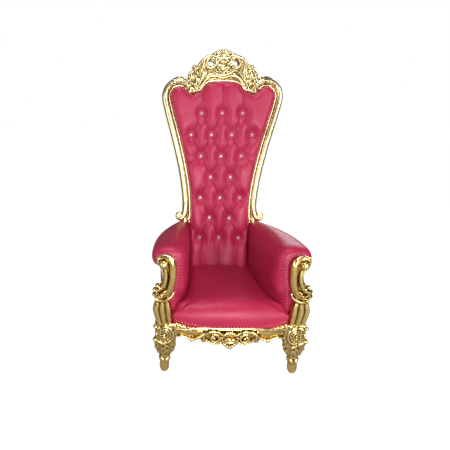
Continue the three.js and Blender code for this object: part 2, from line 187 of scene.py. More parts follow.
def add_backdrop():
    """A white backdrop that lights the chair only a little."""
    world = bpy.data.worlds.new("studio")
    scene.world = world
    world.use_nodes = True
    tree = world.node_tree
    light = tree.nodes["Background"]
    light.inputs["Color"].default_value = (0.95, 0.97, 1, 1)
    light.inputs["Strength"].default_value = BACKDROP_LIGHT
    seen = tree.nodes.new("ShaderNodeBackground")
    seen.inputs["Color"].default_value = (1, 1, 1, 1)
    seen.inputs["Strength"].default_value = BACKDROP_SEEN
    path = tree.nodes.new("ShaderNodeLightPath")
    mix = tree.nodes.new("ShaderNodeMixShader")
    tree.links.new(path.outputs["Is Camera Ray"], mix.inputs[0])
    tree.links.new(light.outputs[0], mix.inputs[1])
    tree.links.new(seen.outputs[0], mix.inputs[2])
    tree.links.new(mix.outputs[0], tree.nodes["World Output"].inputs["Surface"])
    scene.view_settings.view_transform = "Standard"


def add_floor():
    mesh = bpy.data.meshes.new("floor")
    low, high = -FLOOR_REACH, FLOOR_REACH
    mesh.from_pydata([(low, low, 0), (high, low, 0), (high, high, 0), (low, high, 0)], [], [(0, 1, 2, 3)])
    mesh.materials.append(floor_material())
    floor = bpy.data.objects.new("floor", mesh)
    floor.location.z = -FLOOR_DROP
    scene.collection.objects.link(floor)


# Materials

def new_material(name):
    material = bpy.data.materials.new(name)
    material.use_nodes = True
    tree = material.node_tree
    return material, tree, tree.nodes["Principled BSDF"]


def add_node(tree, kind, inputs=None, **settings):
    made = tree.nodes.new("ShaderNode" + kind)
    for key, value in settings.items():
        setattr(made, key, value)
    for key, value in (inputs or {}).items():
        if isinstance(value, bpy.types.NodeSocket):
            tree.links.new(value, made.inputs[key])
        else:
            made.inputs[key].default_value = value
    return made


def noise(tree, place, scale, detail=3.0, roughness=0.55):
    inputs = {"Vector": place, "Scale": scale, "Detail": detail, "Roughness": roughness}
    return add_node(tree, "TexNoise", inputs).outputs["Fac"]


def ramp(tree, value, stops):
    made = add_node(tree, "ValToRGB", {"Fac": value})
    band = made.color_ramp
    while len(band.elements) < len(stops):
        band.elements.new(0.5)
    for element, (at, colour) in zip(band.elements, stops):
        element.position = at
        element.color = (*colour, 1)
    return made.outputs["Color"]


def mapped(tree, value, low, high, source=(0.3, 0.7)):
    limits = {"Value": value, "From Min": source[0], "From Max": source[1], "To Min": low, "To Max": high}
    return add_node(tree, "MapRange", limits).outputs["Result"]


def bumps(tree, shader, layers):
    normal = None
    for height, strength, distance in layers:
        inputs = {"Height": height, "Strength": strength, "Distance": distance}
        if normal is not None:
            inputs["Normal"] = normal
        normal = add_node(tree, "Bump", inputs).outputs["Normal"]
    tree.links.new(normal, shader.inputs["Normal"])


def floor_material():
    material, tree, shader = new_material("pale_floor")
    place = add_node(tree, "TexCoord").outputs["Object"]
    tree.links.new(ramp(tree, noise(tree, place, 3.0), FLOOR_TONES), shader.inputs["Base Color"])
    shader.inputs["Roughness"].default_value = 0.7
    shader.inputs["Emission Color"].default_value = (1, 1, 1, 1)
    seen = add_node(tree, "LightPath").outputs["Is Camera Ray"]
    glow = mapped(tree, seen, FLOOR_LIGHT, FLOOR_SEEN, (0.0, 1.0))
    tree.links.new(glow, shader.inputs["Emission Strength"])
    return material


# Gold leaf over carving: painted shade in the hollows and a painted highlight on sharp edges, both read
# from Pointiness, slightly uneven all over
def gilt_material(name, tones, roughness):
    material, tree, shader = new_material(name)
    place = add_node(tree, "TexCoord").outputs["Object"]
    edge = add_node(tree, "NewGeometry").outputs["Pointiness"]
    wear = mapped(tree, noise(tree, place, 38.0, 4.0), -0.008, 0.008)
    # Painted shade in the hollows and painted highlight on sharp edges: Pointiness, with slight noise,
    # picks the gold tone
    shade_highlight_and_unevenness = add_node(tree, "Math", {0: wear, 1: edge}, operation="ADD").outputs[0]
    tree.links.new(ramp(tree, shade_highlight_and_unevenness, list(zip(GOLD_STOPS, tones))), shader.inputs["Base Color"])
    tree.links.new(mapped(tree, noise(tree, place, 30.0), *roughness), shader.inputs["Roughness"])
    shader.inputs["Metallic"].default_value = 1.0
    fine = noise(tree, place, 420.0, 2.0)
    broad = noise(tree, place, 45.0, 2.0)
    bumps(tree, shader, [(broad, 0.05, 0.004), (fine, 0.04, 0.001)])
    return material


# Soft leather: fine pebbled grain, a little unevenness in tone and gloss, and painted shade in the folds
def leather_material():
    material, tree, shader = new_material("pink_leather")
    place = add_node(tree, "TexCoord").outputs["Object"]
    edge = add_node(tree, "NewGeometry").outputs["Pointiness"]
    colour = ramp(tree, noise(tree, place, 4.0, 4.0), LEATHER_TONES)
    # Painted shade: the colour is darkened where Pointiness finds a crease
    fold = ramp(tree, edge, LEATHER_CREASE_SHADE)
    shaded = add_node(tree, "Mix", data_type="RGBA", blend_type="MULTIPLY")
    shaded.inputs["Factor"].default_value = 1.0
    tree.links.new(colour, shaded.inputs[6])
    tree.links.new(fold, shaded.inputs[7])
    tree.links.new(shaded.outputs[2], shader.inputs["Base Color"])
    tree.links.new(mapped(tree, noise(tree, place, 18.0), *LEATHER_ROUGHNESS), shader.inputs["Roughness"])
    shader.inputs["Specular IOR Level"].default_value = 0.42
    shader.inputs["Specular Tint"].default_value = (1.0, 0.72, 0.84, 1)
    pebble = add_node(tree, "TexVoronoi", {"Vector": place, "Scale": 420.0}, feature="DISTANCE_TO_EDGE")
    grain = mapped(tree, pebble.outputs["Distance"], 0.0, 1.0, (0.0, 0.25))
    bumps(tree, shader, [
        (noise(tree, place, 26.0, 3.0), 0.16, 0.004),
        (noise(tree, place, 130.0, 3.0), 0.10, 0.0015),
        (grain, 0.16, 0.0005),
    ])
    return material


def varied_material(name, tone_noise, tones, roughness_scale, roughness):
    """A material with slight changes of tone and roughness all over, and its shader."""
    material, tree, shader = new_material(name)
    place = add_node(tree, "TexCoord").outputs["Object"]
    tree.links.new(ramp(tree, noise(tree, place, *tone_noise), tones), shader.inputs["Base Color"])
    gloss = mapped(tree, noise(tree, place, roughness_scale), *roughness)
    tree.links.new(gloss, shader.inputs["Roughness"])
    return material, shader


def crystal_material():
    material, shader = varied_material("crystal", (160.0, 1.0), CRYSTAL_TONES, 300.0, CRYSTAL_ROUGHNESS)
    shader.inputs["IOR"].default_value = 1.55
    return material


def nail_material():
    material, shader = varied_material("nail_heads", (90.0, 2.0), BRASS_TONES, 200.0, BRASS_ROUGHNESS)
    shader.inputs["Metallic"].default_value = 0.9
    return material


# Shapes in millimetres, as (vertices, faces)

def spline(points, count):
    """Points along a smooth curve through the given points."""
    p = np.asarray(points, float)
    p = np.vstack([2 * p[0] - p[1], p, 2 * p[-1] - p[-2]])
    t = np.linspace(0, len(p) - 3, count)
    i = np.minimum(t.astype(int), len(p) - 4)
    f = (t - i)[:, None]
    a, b, c, d = p[i], p[i + 1], p[i + 2], p[i + 3]
    return 0.5 * (2 * b + (c - a) * f + (2 * a - 5 * b + 4 * c - d) * f**2 + (3 * b - a - 3 * c + d) * f**3)


def bezier(corners, count):
    """Points of a cubic curve from its four corner points."""
    t = np.linspace(0, 1, count)[:, None]
    p = np.asarray(corners, float)
    return (1 - t) ** 3 * p[0] + 3 * (1 - t) ** 2 * t * p[1] + 3 * (1 - t) * t**2 * p[2] + t**3 * p[3]


def length_along(path):
    """The distance along a path at each of its points."""
    return np.concatenate([[0], np.cumsum(np.linalg.norm(np.diff(path, axis=0), axis=1))])


def resampled(path, count, endpoint=True):
    """A number of points at even distances along a path."""
    length = length_along(path)
    at = np.linspace(0, length[-1], count, endpoint=endpoint)
    return np.column_stack([np.interp(at, length, column) for column in path.T])


def spaced(path, gap):
    """Points along a path, about one gap apart."""
    return resampled(path, max(int(length_along(path)[-1] / gap), 2))


def loft(rings):
    """A closed skin over rings of points with flat ends."""
    rings = np.asarray(rings, float)
    n, m = rings.shape[:2]
    r, i = np.meshgrid(np.arange(n - 1), np.arange(m), indexing="ij")
    j = (i + 1) % m
    quads = np.stack([r * m + i, r * m + j, (r + 1) * m + j, (r + 1) * m + i], -1).reshape(-1, 4)
    faces = [tuple(q) for q in quads.tolist()]
    faces.append(tuple(reversed(range(m))))
    faces.append(tuple(range((n - 1) * m, n * m)))
    return rings.reshape(-1, 3), faces


def lifted(path, y):
    """Points in X and Z put at depth y, which is one number or one for each point."""
    p = np.asarray(path, float)
    return np.column_stack([p[:, 0], np.broadcast_to(y, len(p)), p[:, 1]])


def frames(curve):
    """Unit directions along a curve, across it in X and Z, and out of that plane."""
    along = np.gradient(curve, axis=0)
    along /= np.linalg.norm(along, axis=1)[:, None]
    across = np.column_stack([-along[:, 2], np.zeros(len(curve)), along[:, 0]])
    across /= np.linalg.norm(across, axis=1)[:, None]
    return along, across, np.cross(along, across)


def tube(path, y, radius, flat=1.0, sides=10):
    """A bar with rounded ends along points in X and Z; flat is its depth against its width."""
    count = 5 * len(path)
    curve = spline(lifted(path, y), count)
    r = spline(np.broadcast_to(radius, len(path)).astype(float)[:, None], count)[:, 0]
    along, across, out = frames(curve)
    centres = list(curve)
    sizes = list(r)
    index = list(range(count))
    for turn in (radians(45), radians(80)):
        centres.insert(0, curve[0] - along[0] * r[0] * sin(turn))
        sizes.insert(0, r[0] * cos(turn))
        index.insert(0, 0)
        centres.append(curve[-1] + along[-1] * r[-1] * sin(turn))
        sizes.append(r[-1] * cos(turn))
        index.append(count - 1)
    angle = np.linspace(0, 2 * pi, sides, endpoint=False)
    c = np.array(centres)[:, None]
    s = np.array(sizes)[:, None, None]
    wide = np.cos(angle)[None, :, None] * across[index][:, None]
    deep = flat * np.sin(angle)[None, :, None] * out[index][:, None]
    return loft(c + s * (wide + deep))


def blob(centre, radii, turn=0.0, sides=16, rows=9):
    """An ellipsoid, turned about the depth axis."""
    tilt = np.linspace(-pi / 2 + 0.05, pi / 2 - 0.05, rows)
    angle = np.linspace(0, 2 * pi, sides, endpoint=False)
    x = np.cos(tilt)[:, None] * np.cos(angle) * radii[0]
    y = np.cos(tilt)[:, None] * np.sin(angle) * radii[1]
    z = np.sin(tilt)[:, None] * np.ones(sides) * radii[2]
    c, s = cos(turn), sin(turn)
    rings = np.stack([x * c + z * s, y, z * c - x * s], -1) + np.asarray(centre, float)
    return loft(rings)


def leaf(path, y, width, lift=10.0, lobes=3, sink=8.0):
    """A carved leaf along points in X and Z: rounded lobes, staggered on the two sides of a rib."""
    count = 18 * lobes
    curve = spline(lifted(path, y), count)
    t = np.linspace(0, 1, count)[:, None]
    half = spline(np.asarray(width, float)[:, None], count) * np.sqrt(1.02 - t**9)
    along, across, _ = frames(curve)
    u = np.linspace(-1, 1, 27)[None]
    side = np.abs(u)
    phase = pi * lobes * (t + 0.5 / lobes * (u < 0))
    lobe = np.abs(np.sin(phase)) ** 0.4
    outer = np.clip(2.4 * side, 0, 1)
    reach = half * (0.6 + 0.45 * lobe)
    rise = lift * np.sqrt(1 - u**2) * (1 - 0.6 * outer * (1 - lobe**2))
    rise = rise - 0.2 * lift * np.cos(phase) ** 2 * outer + 0.15 * lift * np.exp(-((u / 0.2) ** 2))
    rise = rise * np.clip(7 * np.minimum(t, 1 - t), 0.3, 1)
    top = curve[:, None] + across[:, None] * (u * reach)[..., None]
    top = top + along[:, None] * (0.5 * half * side**1.4)[..., None]
    under = top.copy()
    top[:, :, 1] -= rise
    under[:, :, 1] += sink
    return loft(np.concatenate([top, under[:, ::-1]], axis=1))


def fan(centre, y, radius, spread, count, width, depth=8.0, lean=0.0):
    """Petals that spread from a centre, turned by lean from straight up."""
    parts = []
    for angle in np.linspace(-spread, spread, count) + lean:
        reach = 0.56 * radius
        middle = (centre[0] + reach * sin(angle), y, centre[1] + reach * cos(angle))
        parts.append(blob(middle, (width, depth, 0.46 * radius), angle))
    return parts


def rosette(centre, y, radius, petals):
    """A knob in a ring of petals."""
    parts = [blob((centre[0], y - 0.5 * radius, centre[1]), (0.5 * radius, 0.7 * radius, 0.5 * radius))]
    for k in range(petals):
        turn = 2 * pi * (k + 0.5) / petals
        place = (centre[0] + 0.66 * radius * sin(turn), y, centre[1] + 0.66 * radius * cos(turn))
        parts.append(blob(place, (0.36 * radius, 0.8 * radius, 0.46 * radius), turn))
    return parts


def band(lower, upper, y, lift, flutes=0, sink=8.0, count=60):
    """A strip between two edges in X and Z that swells forward, smooth or with flutes along it."""
    a, b = spline(lower, count), spline(upper, count)
    u = np.linspace(0, 1, 11 + 8 * flutes)
    face = a[:, None] + (b - a)[:, None] * u[None, :, None]
    rise = lift * np.sqrt(1 - (2 * u - 1) ** 2)
    if flutes:
        rise = rise * (0.72 + 0.28 * np.abs(np.sin(pi * flutes * u)) ** 0.7)
    depth = np.broadcast_to(y - rise, face.shape[:2])
    front = np.stack([face[..., 0], depth, face[..., 1]], -1)
    behind = front[:, ::-1].copy()
    behind[:, :, 1] = y + sink
    return loft(np.concatenate([front, behind], axis=1))


def curl(centre, start, turns, outer, inner, steps=20):
    """Points of a spiral in X and Z, from its outer radius inwards."""
    t = np.linspace(0, 1, steps)
    angle = start + 2 * pi * turns * t
    r = outer + (inner - outer) * t
    return np.column_stack([centre[0] + r * np.cos(angle), centre[1] + r * np.sin(angle)])


def ellipse(centre, across, up, start=0.0, end=2 * pi, steps=28):
    """Points of an arc in X and Z."""
    angle = np.linspace(start, end, steps)
    return np.column_stack([centre[0] + across * np.cos(angle), centre[1] + up * np.sin(angle)])


def plate(outline, front, back, holes=()):
    """A flat board from its outline in X and Z, with holes."""
    loops = [np.asarray(loop, float) for loop in (outline, *holes)]
    flat = np.vstack(loops)
    total = len(flat)
    triangles = tessellate_polygon([[Vector((x, z, 0)) for x, z in loop] for loop in loops])
    verts = np.vstack([lifted(flat, front), lifted(flat, back)])
    faces = []
    for a, b, c in triangles:
        ab, ac = flat[b] - flat[a], flat[c] - flat[a]
        if ab[0] * ac[1] - ab[1] * ac[0] < 0:
            b, c = c, b
        faces += [(a, b, c), (a + total, c + total, b + total)]
    start = 0
    for loop in loops:
        x, z = loop.T
        turn = np.sum(x * np.roll(z, -1) - np.roll(x, -1) * z)
        outer = start == 0
        order = range(len(loop)) if (turn > 0) == outer else range(len(loop) - 1, -1, -1)
        order = [start + k for k in order]
        for a, b in zip(order, order[1:] + order[:1]):
            faces.append((a, a + total, b + total, b))
        start += len(loop)
    return verts, faces


def superellipse(x, y, half_x, half_y, z, count=28, power=0.5):
    """A level ring; power 1 gives an ellipse and 0.5 a squarer one."""
    angle = (np.arange(count) + 0.5) / count * 2 * pi
    c, s = np.cos(angle), np.sin(angle)
    px = x + half_x * np.sign(c) * np.abs(c) ** power
    py = y + half_y * np.sign(s) * np.abs(s) ** power
    return np.column_stack([px, py, np.full(count, z)])


# Meshes and objects

def flipped(parts):
    """The mirror images of shapes across the chair's middle."""
    return [(points * (-1, 1, 1), [face[::-1] for face in faces]) for points, faces in parts]


def mesh_of(name, parts):
    """One mesh from several shapes."""
    verts, faces, start = [], [], 0
    for points, polygons in parts:
        verts.append(points)
        faces += [tuple(k + start for k in polygon) for polygon in polygons]
        start += len(points)
    mesh = bpy.data.meshes.new(name)
    mesh.from_pydata((np.vstack(verts) * MM).tolist(), [], faces)
    mesh.update()
    return mesh


def evaluated(name, mesh, modifiers):
    """The mesh after modifiers, given as (kind, settings)."""
    obj = bpy.data.objects.new(name, mesh)
    scene.collection.objects.link(obj)
    for kind, settings in modifiers:
        modifier = obj.modifiers.new(kind, kind)
        for key, value in settings.items():
            setattr(modifier, key, value)
    graph = bpy.context.evaluated_depsgraph_get()
    result = bpy.data.meshes.new_from_object(obj.evaluated_get(graph))
    bpy.data.objects.remove(obj)
    return result


def carved(name, parts, voxel, rounds):
    """Overlapping shapes fused into one skin and softened like carving under gesso."""
    fused = ("REMESH", dict(mode="VOXEL", voxel_size=voxel * MM, adaptivity=0.0))
    soft = ("SMOOTH", dict(factor=0.5, iterations=rounds))
    return evaluated(name, mesh_of(name, parts), [fused, soft])


def points_of(mesh):
    flat = np.empty(len(mesh.vertices) * 3)
    mesh.vertices.foreach_get("co", flat)
    return flat.reshape(-1, 3)


def set_points(mesh, points):
    mesh.vertices.foreach_set("co", np.ascontiguousarray(points, dtype=float).ravel())
    mesh.update()


def joined(name, meshes):
    """Several meshes as one."""
    whole = bmesh.new()
    for mesh in meshes:
        whole.from_mesh(mesh)
    mesh = bpy.data.meshes.new(name)
    whole.to_mesh(mesh)
    whole.free()
    return mesh


def mirrored(mesh):
    """The mesh's mirror image across the chair's middle."""
    other = mesh.copy()
    other.transform(Matrix.Scale(-1, 4, (1, 0, 0)))
    other.flip_normals()
    return other


def piece(name, mesh, material, nodes=(), place=None, smooth=True):
    """A finished piece of the chair, in place on its body."""
    if place is not None:
        mesh.transform(place)
    mesh.materials.clear()
    mesh.materials.append(material)
    mesh.polygons.foreach_set("use_smooth", [smooth] * len(mesh.polygons))
    mesh.update()
    obj = bpy.data.objects.new(name, mesh)
    scene.collection.objects.link(obj)
    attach(obj, "root")
    if nodes:
        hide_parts(*nodes)
    return obj


def pair(name, right, material, node, place=None, smooth=True):
    """The left and right pieces from a mesh made for the right."""
    made = []
    for side, mesh in (("left", mirrored(right)), ("right", right)):
        made.append(piece(f"{name}_{side}", mesh, material, [f"{node}_{side}"], place, smooth))
    return made


# The frame's own curves

def stile_path():
    """The middle line of the right stile, from the crest over the shoulder to the arm."""
    x, z, across, up = SHOULDER
    shoulder = ellipse((x, z), across, up, SHOULDER_TURN, 0, 60)
    side = bezier([(x + across, z), (x + across, z - 65), (WAIST[0] + 4, z - 436), WAIST], 80)
    return resampled(np.vstack([shoulder, side[1:], [(WAIST[0] + 4, STILE_END_Z)]]), STILE_STEPS)


def beside(path, distance):
    """The path moved sideways, inwards towards the leather when distance is positive."""
    along = np.gradient(path, axis=0)
    along /= np.linalg.norm(along, axis=1)[:, None]
    return path + distance * np.column_stack([along[:, 1], -along[:, 0]])


def leather_edge(inset):
    """The right half of the leather's edge, from the top middle to the waist."""
    under = spline(CREST_UNDERSIDE, 60) - (0, inset)
    return np.vstack([under, beside(stile_path(), STILE_HALF + inset)[2:]])


def closed(path):
    """The path with its first point again at its end."""
    return np.vstack([path, path[:1]])


def whole_outline(right):
    """A closed outline from its right half, listed from the middle outwards."""
    right = np.asarray(right, float)
    left = right[right[:, 0] > 1e-6][::-1] * (-1, 1)
    return np.vstack([right, left])


# Back stiles: a broad torus, a cove and a bead, ending in a curl on the arm

def stile_section():
    """The moulding, as distance outwards and depth, from the outer side over the front to the back."""
    a = np.linspace(0, pi - 0.32, 15)
    torus = np.column_stack([7 + 20 * np.cos(a), -21 * np.sin(a)])
    b = np.linspace(0, pi, 9)
    bead = np.column_stack([-21.5 + 5.5 * np.cos(b), -7 - 7 * np.sin(b)])
    cove = [(-14.5, -4.5)]
    inner_side = [(-STILE_HALF, 8), (-STILE_HALF, 19), (-STILE_HALF, 30)]
    back = [(x, BACK_THICKNESS) for x in (-23, -12, 0, 12, 23)]
    outer_side = [(STILE_HALF, 30), (STILE_HALF, 20), (STILE_HALF, 10)]
    return np.vstack([torus, cove, bead, inner_side, back, outer_side])


def stile_sweep():
    curve = lifted(stile_path(), 0)
    _, across, _ = frames(curve)
    section = stile_section()
    rings = curve[:, None] + across[:, None] * section[None, :, :1]
    rings[:, :, 1] += section[None, :, 1]
    return loft(rings)


def stile_ornaments():
    curled = [
        (228, 905), (225, 850), (226, 804), (231, 768), (243, 742),
        (262, 733), (277, 744), (276, 762), (263, 768), (254, 757),
    ]
    depth = [0, -3, -5, -7, -9, -11, -12, -12, -13, -13]
    path = stile_path()
    return [
        tube(curled, depth, [12, 17, 20, 21, 20, 18, 15, 12, 10, 8], 1.1),
        blob((252, 6, 746), (33, 25, 26)),
        blob((260, -17, 750), (15, 13, 15)),
        tube([(197, 790), (197, 752), (203, 722)], -8, [6, 7, 8], 1.2),
        leaf(beside(path, -6)[4:26:5], -13, [16, 18, 16, 12, 7], 12, 3, 12),
        leaf(beside(path, -22)[4:20:4], 0, [10, 14, 12, 6], 11, 3, 12),
    ]


def add_stiles():
    ornaments = carved("stile_carving", stile_ornaments(), STILE_VOXEL, 3)
    right = joined("stile", [mesh_of("stile_bar", [stile_sweep()]), ornaments])
    pair("stile", right, lit_upper_gilt, "back_stile", BACK)


# Crest: fan and boss over a bowl, C-scrolls round the pierced holes, leaves down both sides

def crest_outline():
    top = spline([(0, 1786), (62, 1776), (110, 1754), (140, 1727), (160, 1699)], 20)
    side = spline([(176, 1690), (202, 1654), (208, 1622), (196, 1596), (216, 1562)], 16)
    return whole_outline(np.vstack([top, side, spline(CREST_UNDERSIDE[::-1], 40) + (0, 3)]))


def crest_right():
    rim = [(164, 1690), (144, 1722), (118, 1748), (92, 1762), (66, 1768), (44, 1762)]
    c_scroll = [
        (50, 1744), (70, 1755), (94, 1748), (106, 1726),
        (98, 1702), (78, 1692), (60, 1699), (58, 1712),
    ]
    wing_inner = [(88, 1752), (108, 1722), (106, 1694), (94, 1672), (108, 1644), (128, 1618), (146, 1590)]
    wing_outer = [(122, 1744), (144, 1714), (155, 1686), (157, 1658), (156, 1630), (160, 1602), (168, 1574)]
    swag_lower = [(-2, 1625), (26, 1631), (50, 1637), (74, 1631), (97, 1617), (113, 1600), (127, 1580)]
    swag_upper = [(-2, 1643), (26, 1650), (52, 1663), (80, 1668), (108, 1648), (126, 1624), (143, 1594)]
    edge_lower = [(-2, 1615), (30, 1617), (60, 1614), (98, 1602)]
    edge_upper = [(-2, 1627), (30, 1633), (60, 1636), (98, 1617)]
    parts = [
        tube(rim, -12, [8, 9, 10, 10, 9, 7], 1.3),
        tube(c_scroll, -14, [5, 8, 10, 11, 10, 9, 8, 7], 1.1),
        band(wing_inner, wing_outer, -8, 15, 3),
        band(swag_lower, swag_upper, -9, 12),
        band(edge_lower, edge_upper, -8, 5),
        tube(spline(CREST_UNDERSIDE[:-1], 14) + (0, 6), -12, 5.5),
        tube([(0, 1647), (26, 1653), (50, 1663), (68, 1679), (66, 1692)], -19, [6, 6, 6, 6, 5], 1.2),
        tube([(0, 1662), (18, 1674), (36, 1696)], -21, [5, 5, 4], 1.1),
        leaf([(20, 1661), (36, 1671), (54, 1686)], -16, [4, 10, 6], 9, 2),
        tube([(42, 1760), (47, 1742), (43, 1724), (50, 1708)], -16, [7, 7, 6, 5], 1.1),
        blob((207, 10, 1570), (28, 16, 30)),
        leaf([(176, 1688), (170, 1650), (166, 1612), (168, 1572)], -13, [13, 22, 22, 11], 11, 2, 14),
        leaf([(180, 1684), (198, 1660), (206, 1630), (206, 1602)], -8, [10, 18, 18, 9], 11, 2, 16),
        leaf([(200, 1622), (206, 1590), (202, 1562), (190, 1538)], -14, [13, 21, 20, 9], 12, 2, 16),
        leaf([(152, 1596), (160, 1574), (174, 1556), (186, 1544)], -13, [8, 14, 14, 7], 10, 2, 12),
        blob((137, -6, 1577), (14, 13, 15)),
    ]
    parts += rosette((179, 1697), -8, 18, 6)
    for x, z, size in ((18, 1795, 11), (37, 1789, 11), (55, 1781, 10.5), (71, 1772, 9.5)):
        parts.append(blob((x, -8, z), (size, 12, size)))
    for x, z, size in ((207, 1664, 9), (212, 1640, 9)):
        parts.append(blob((x, -8, z), (size, 11, size)))
    return parts


def crest_middle():
    holes = [ellipse((side * 76, 1724), 18, 17)[:-1] for side in (-1, 1)]
    bowl = [(1716, 44, 12), (1706, 46, 18), (1694, 37, 21), (1682, 22, 18), (1670, 8, 10)]
    funnel = loft([superellipse(0, -8, across, deep, z, 28, 1.0) for z, across, deep in bowl])
    parts = [
        plate(crest_outline(), -8, 29, holes),
        funnel,
        blob((0, -19, 1728), (26, 13, 12)),
        tube(ellipse((0, 1728), 35, 20), -14, 5),
        tube([(-44, 1757), (0, 1752), (44, 1757)], -16, 7),
        blob((0, -8, 1797), (11, 12, 11)),
        tube(closed(0.965 * (crest_outline() - (0, 1660)) + (0, 1660)), 27, 5),
    ]
    parts += fan((0, 1750), -13, 52, 1.2, 9, 7.5, 10)
    return parts


def add_crest():
    right = crest_right()
    mesh = carved("crest", crest_middle() + right + flipped(right), CREST_VOXEL, 4)
    piece("crest", mesh, lit_upper_gilt, ["crest_rail"], BACK)


# Front posts: bud foot, leafy knee, shell block, reeds and scroll

# Height, middle in X and Y, and half sizes in X and Y, from the foot to the top of the block
LEG_STATIONS = [
    (0, 357, -338, 14, 14), (5, 357, -339, 19, 19), (20, 357, -340, 25, 25), (42, 357, -341, 27, 27),
    (68, 356, -341, 25, 25), (90, 355, -341, 20, 20), (98, 355, -341, 20, 20), (104, 354, -341, 25, 25),
    (110, 354, -341, 25, 25), (116, 354, -341, 24, 24), (124, 354, -340, 28, 27), (142, 354, -338, 35, 33),
    (172, 353, -334, 47, 38), (194, 351.5, -331, 58, 41), (304, 351.5, -331, 58, 41),
]
SCROLL_OUTLINE = [
    (352, 440), (326, 486), (312, 548), (305, 612), (310, 652), (326, 680), (352, 687), (380, 678),
    (386, 652), (378, 624), (368, 590), (369, 548), (388, 520), (402, 490), (404, 464), (388, 446),
    (352, 440),
]
# Height, the three reeds' places in X, and their radius
REED_ROWS = [
    (292, 328, 356, 383, 14), (320, 331, 360, 388, 15), (352, 335, 365, 396, 16),
    (386, 338, 370, 402, 16.5), (414, 342, 370, 398, 14.5), (440, 348, 370, 392, 11),
]


def post_parts():
    rings = []
    for z, x, y, half_x, half_y in spline(LEG_STATIONS, 70):
        squareness = np.interp(z, (70, 170), (1.0, 0.5))
        rings.append(superellipse(x, y, half_x, half_y, max(z, 0), 28, squareness))
    scroll = plate(spline(SCROLL_OUTLINE, 90)[:-1], -350, -312)
    return [loft(rings), scroll] + post_scroll() + post_reeds() + post_block() + post_foot()


def post_scroll():
    wrap = [
        (391, 650), (390, 677), (362, 689), (331, 679), (316, 650),
        (314, 604), (319, 552), (333, 506), (356, 474), (386, 456),
    ]
    parts = [
        tube(wrap, -354, [6, 9, 12, 17, 20, 20, 19, 16, 12, 7], 1.1, 16),
        tube(beside(np.array(wrap[1:9]), 15), -362, [3, 3.5, 4, 4.5, 4.5, 4, 3.5, 3], 1.2),
        blob((363, -368, 653), (24, 22, 24)),
        tube([(355, 628), (351, 596), (354, 560), (366, 530), (384, 508)], -360, [8, 10, 12, 12, 9], 1.2),
        tube([(374, 616), (367, 590), (369, 558), (386, 534)], -348, [3, 4, 5, 5], 1.2),
        tube([(309, 492), (318, 471), (336, 454), (366, 442), (404, 449)], -360, [5, 8, 9, 9, 7], 1.2),
        leaf([(366, 526), (388, 512), (402, 490), (402, 462)], -358, [10, 16, 17, 10], 15, 3, 18),
        leaf([(352, 506), (362, 488), (374, 472), (394, 458)], -362, [7, 12, 13, 8], 12, 3, 18),
    ]
    for x, z, size in ((397, 529, 11), (411, 504, 12), (413, 476, 12), (400, 455, 11)):
        parts.append(blob((x, -350, z), (size, 17, size)))
    return parts


def post_reeds():
    rows = np.array(REED_ROWS)
    z, radius = rows[:, 0], rows[:, 4]
    parts = []
    for k, depth in ((1, -350), (2, -355), (3, -350)):
        parts.append(tube(np.column_stack([rows[:, k], z]), depth, radius, 1.15, 14))
    for k, side in ((1, -1), (3, 1)):
        parts.append(tube(np.column_stack([rows[:, k] + side * 0.95 * radius, z]), -340, 5.0, 1.8))
    backing = [superellipse((a + c) / 2, -337, (c - a) / 2 + 12, 24, h) for h, a, _, c, _ in REED_ROWS]
    parts.append(loft(backing))
    return parts


def post_block():
    face = -372
    shell = (360, 243)
    parts = [
        tube([(292, 303), (350, 307), (408, 302)], -360, 6, 1.4),
        tube([(301, 296), (299, 250), (304, 204)], -362, 9, 0.9),
        blob((407, -356, 288), (14, 18, 12)),
        blob((408, -356, 208), (15, 18, 15)),
        blob((400, -360, 248), (8, 13, 11)),
    ]
    for radius, width, opening in ((48, 7.5, 52), (34, 6.5, 60), (21, 5.5, 74)):
        arc = ellipse(shell, 1.05 * radius, 1.02 * radius, radians(opening), radians(360 - opening), 24)
        parts.append(tube(arc, face + 3, width, 1.1))
    for k in range(5):
        z = shell[1] + 13.5 * (k - 2)
        parts.append(tube([(355, z), (366, z - 0.5), (378, z - 1)], face + 2, [4.2, 5, 4.2], 1.1))
    return parts


def post_foot():
    parts = [leaf([(354, 212), (354, 168), (355, 112)], [-370, -368, -356], [20, 25, 13], 14, 3, 22)]
    for side in (-1, 1):
        outside = [(354 + side * 44, 212), (354 + side * 38, 168), (355 + side * 25, 110)]
        parts.append(leaf(outside, [-358, -354, -347], [15, 21, 11], 13, 3, 24))
        parts.append(blob((356 + side * 11, -353, 80), (13, 15, 22), side * 0.42))
        parts.append(blob((356 + side * 24, -338, 82), (9, 17, 20), side * 0.22))
    return parts


def add_posts():
    right = carved("post", post_parts(), POST_VOXEL, 4)
    points = points_of(right)
    points[:, 2] = np.maximum(points[:, 2], 0)
    set_points(right, points)
    pair("carved_post", right, shaded_lower_gilt, "front_post")


# Apron: cabochon in a ring, shell drop, C-scrolls and leaf drops under a curved moulding

APRON_LOWER = [
    (298, 223), (244, 222), (206, 200), (182, 216), (152, 221), (118, 194),
    (93, 183), (66, 183), (44, 186), (24, 170), (0, 160),
]


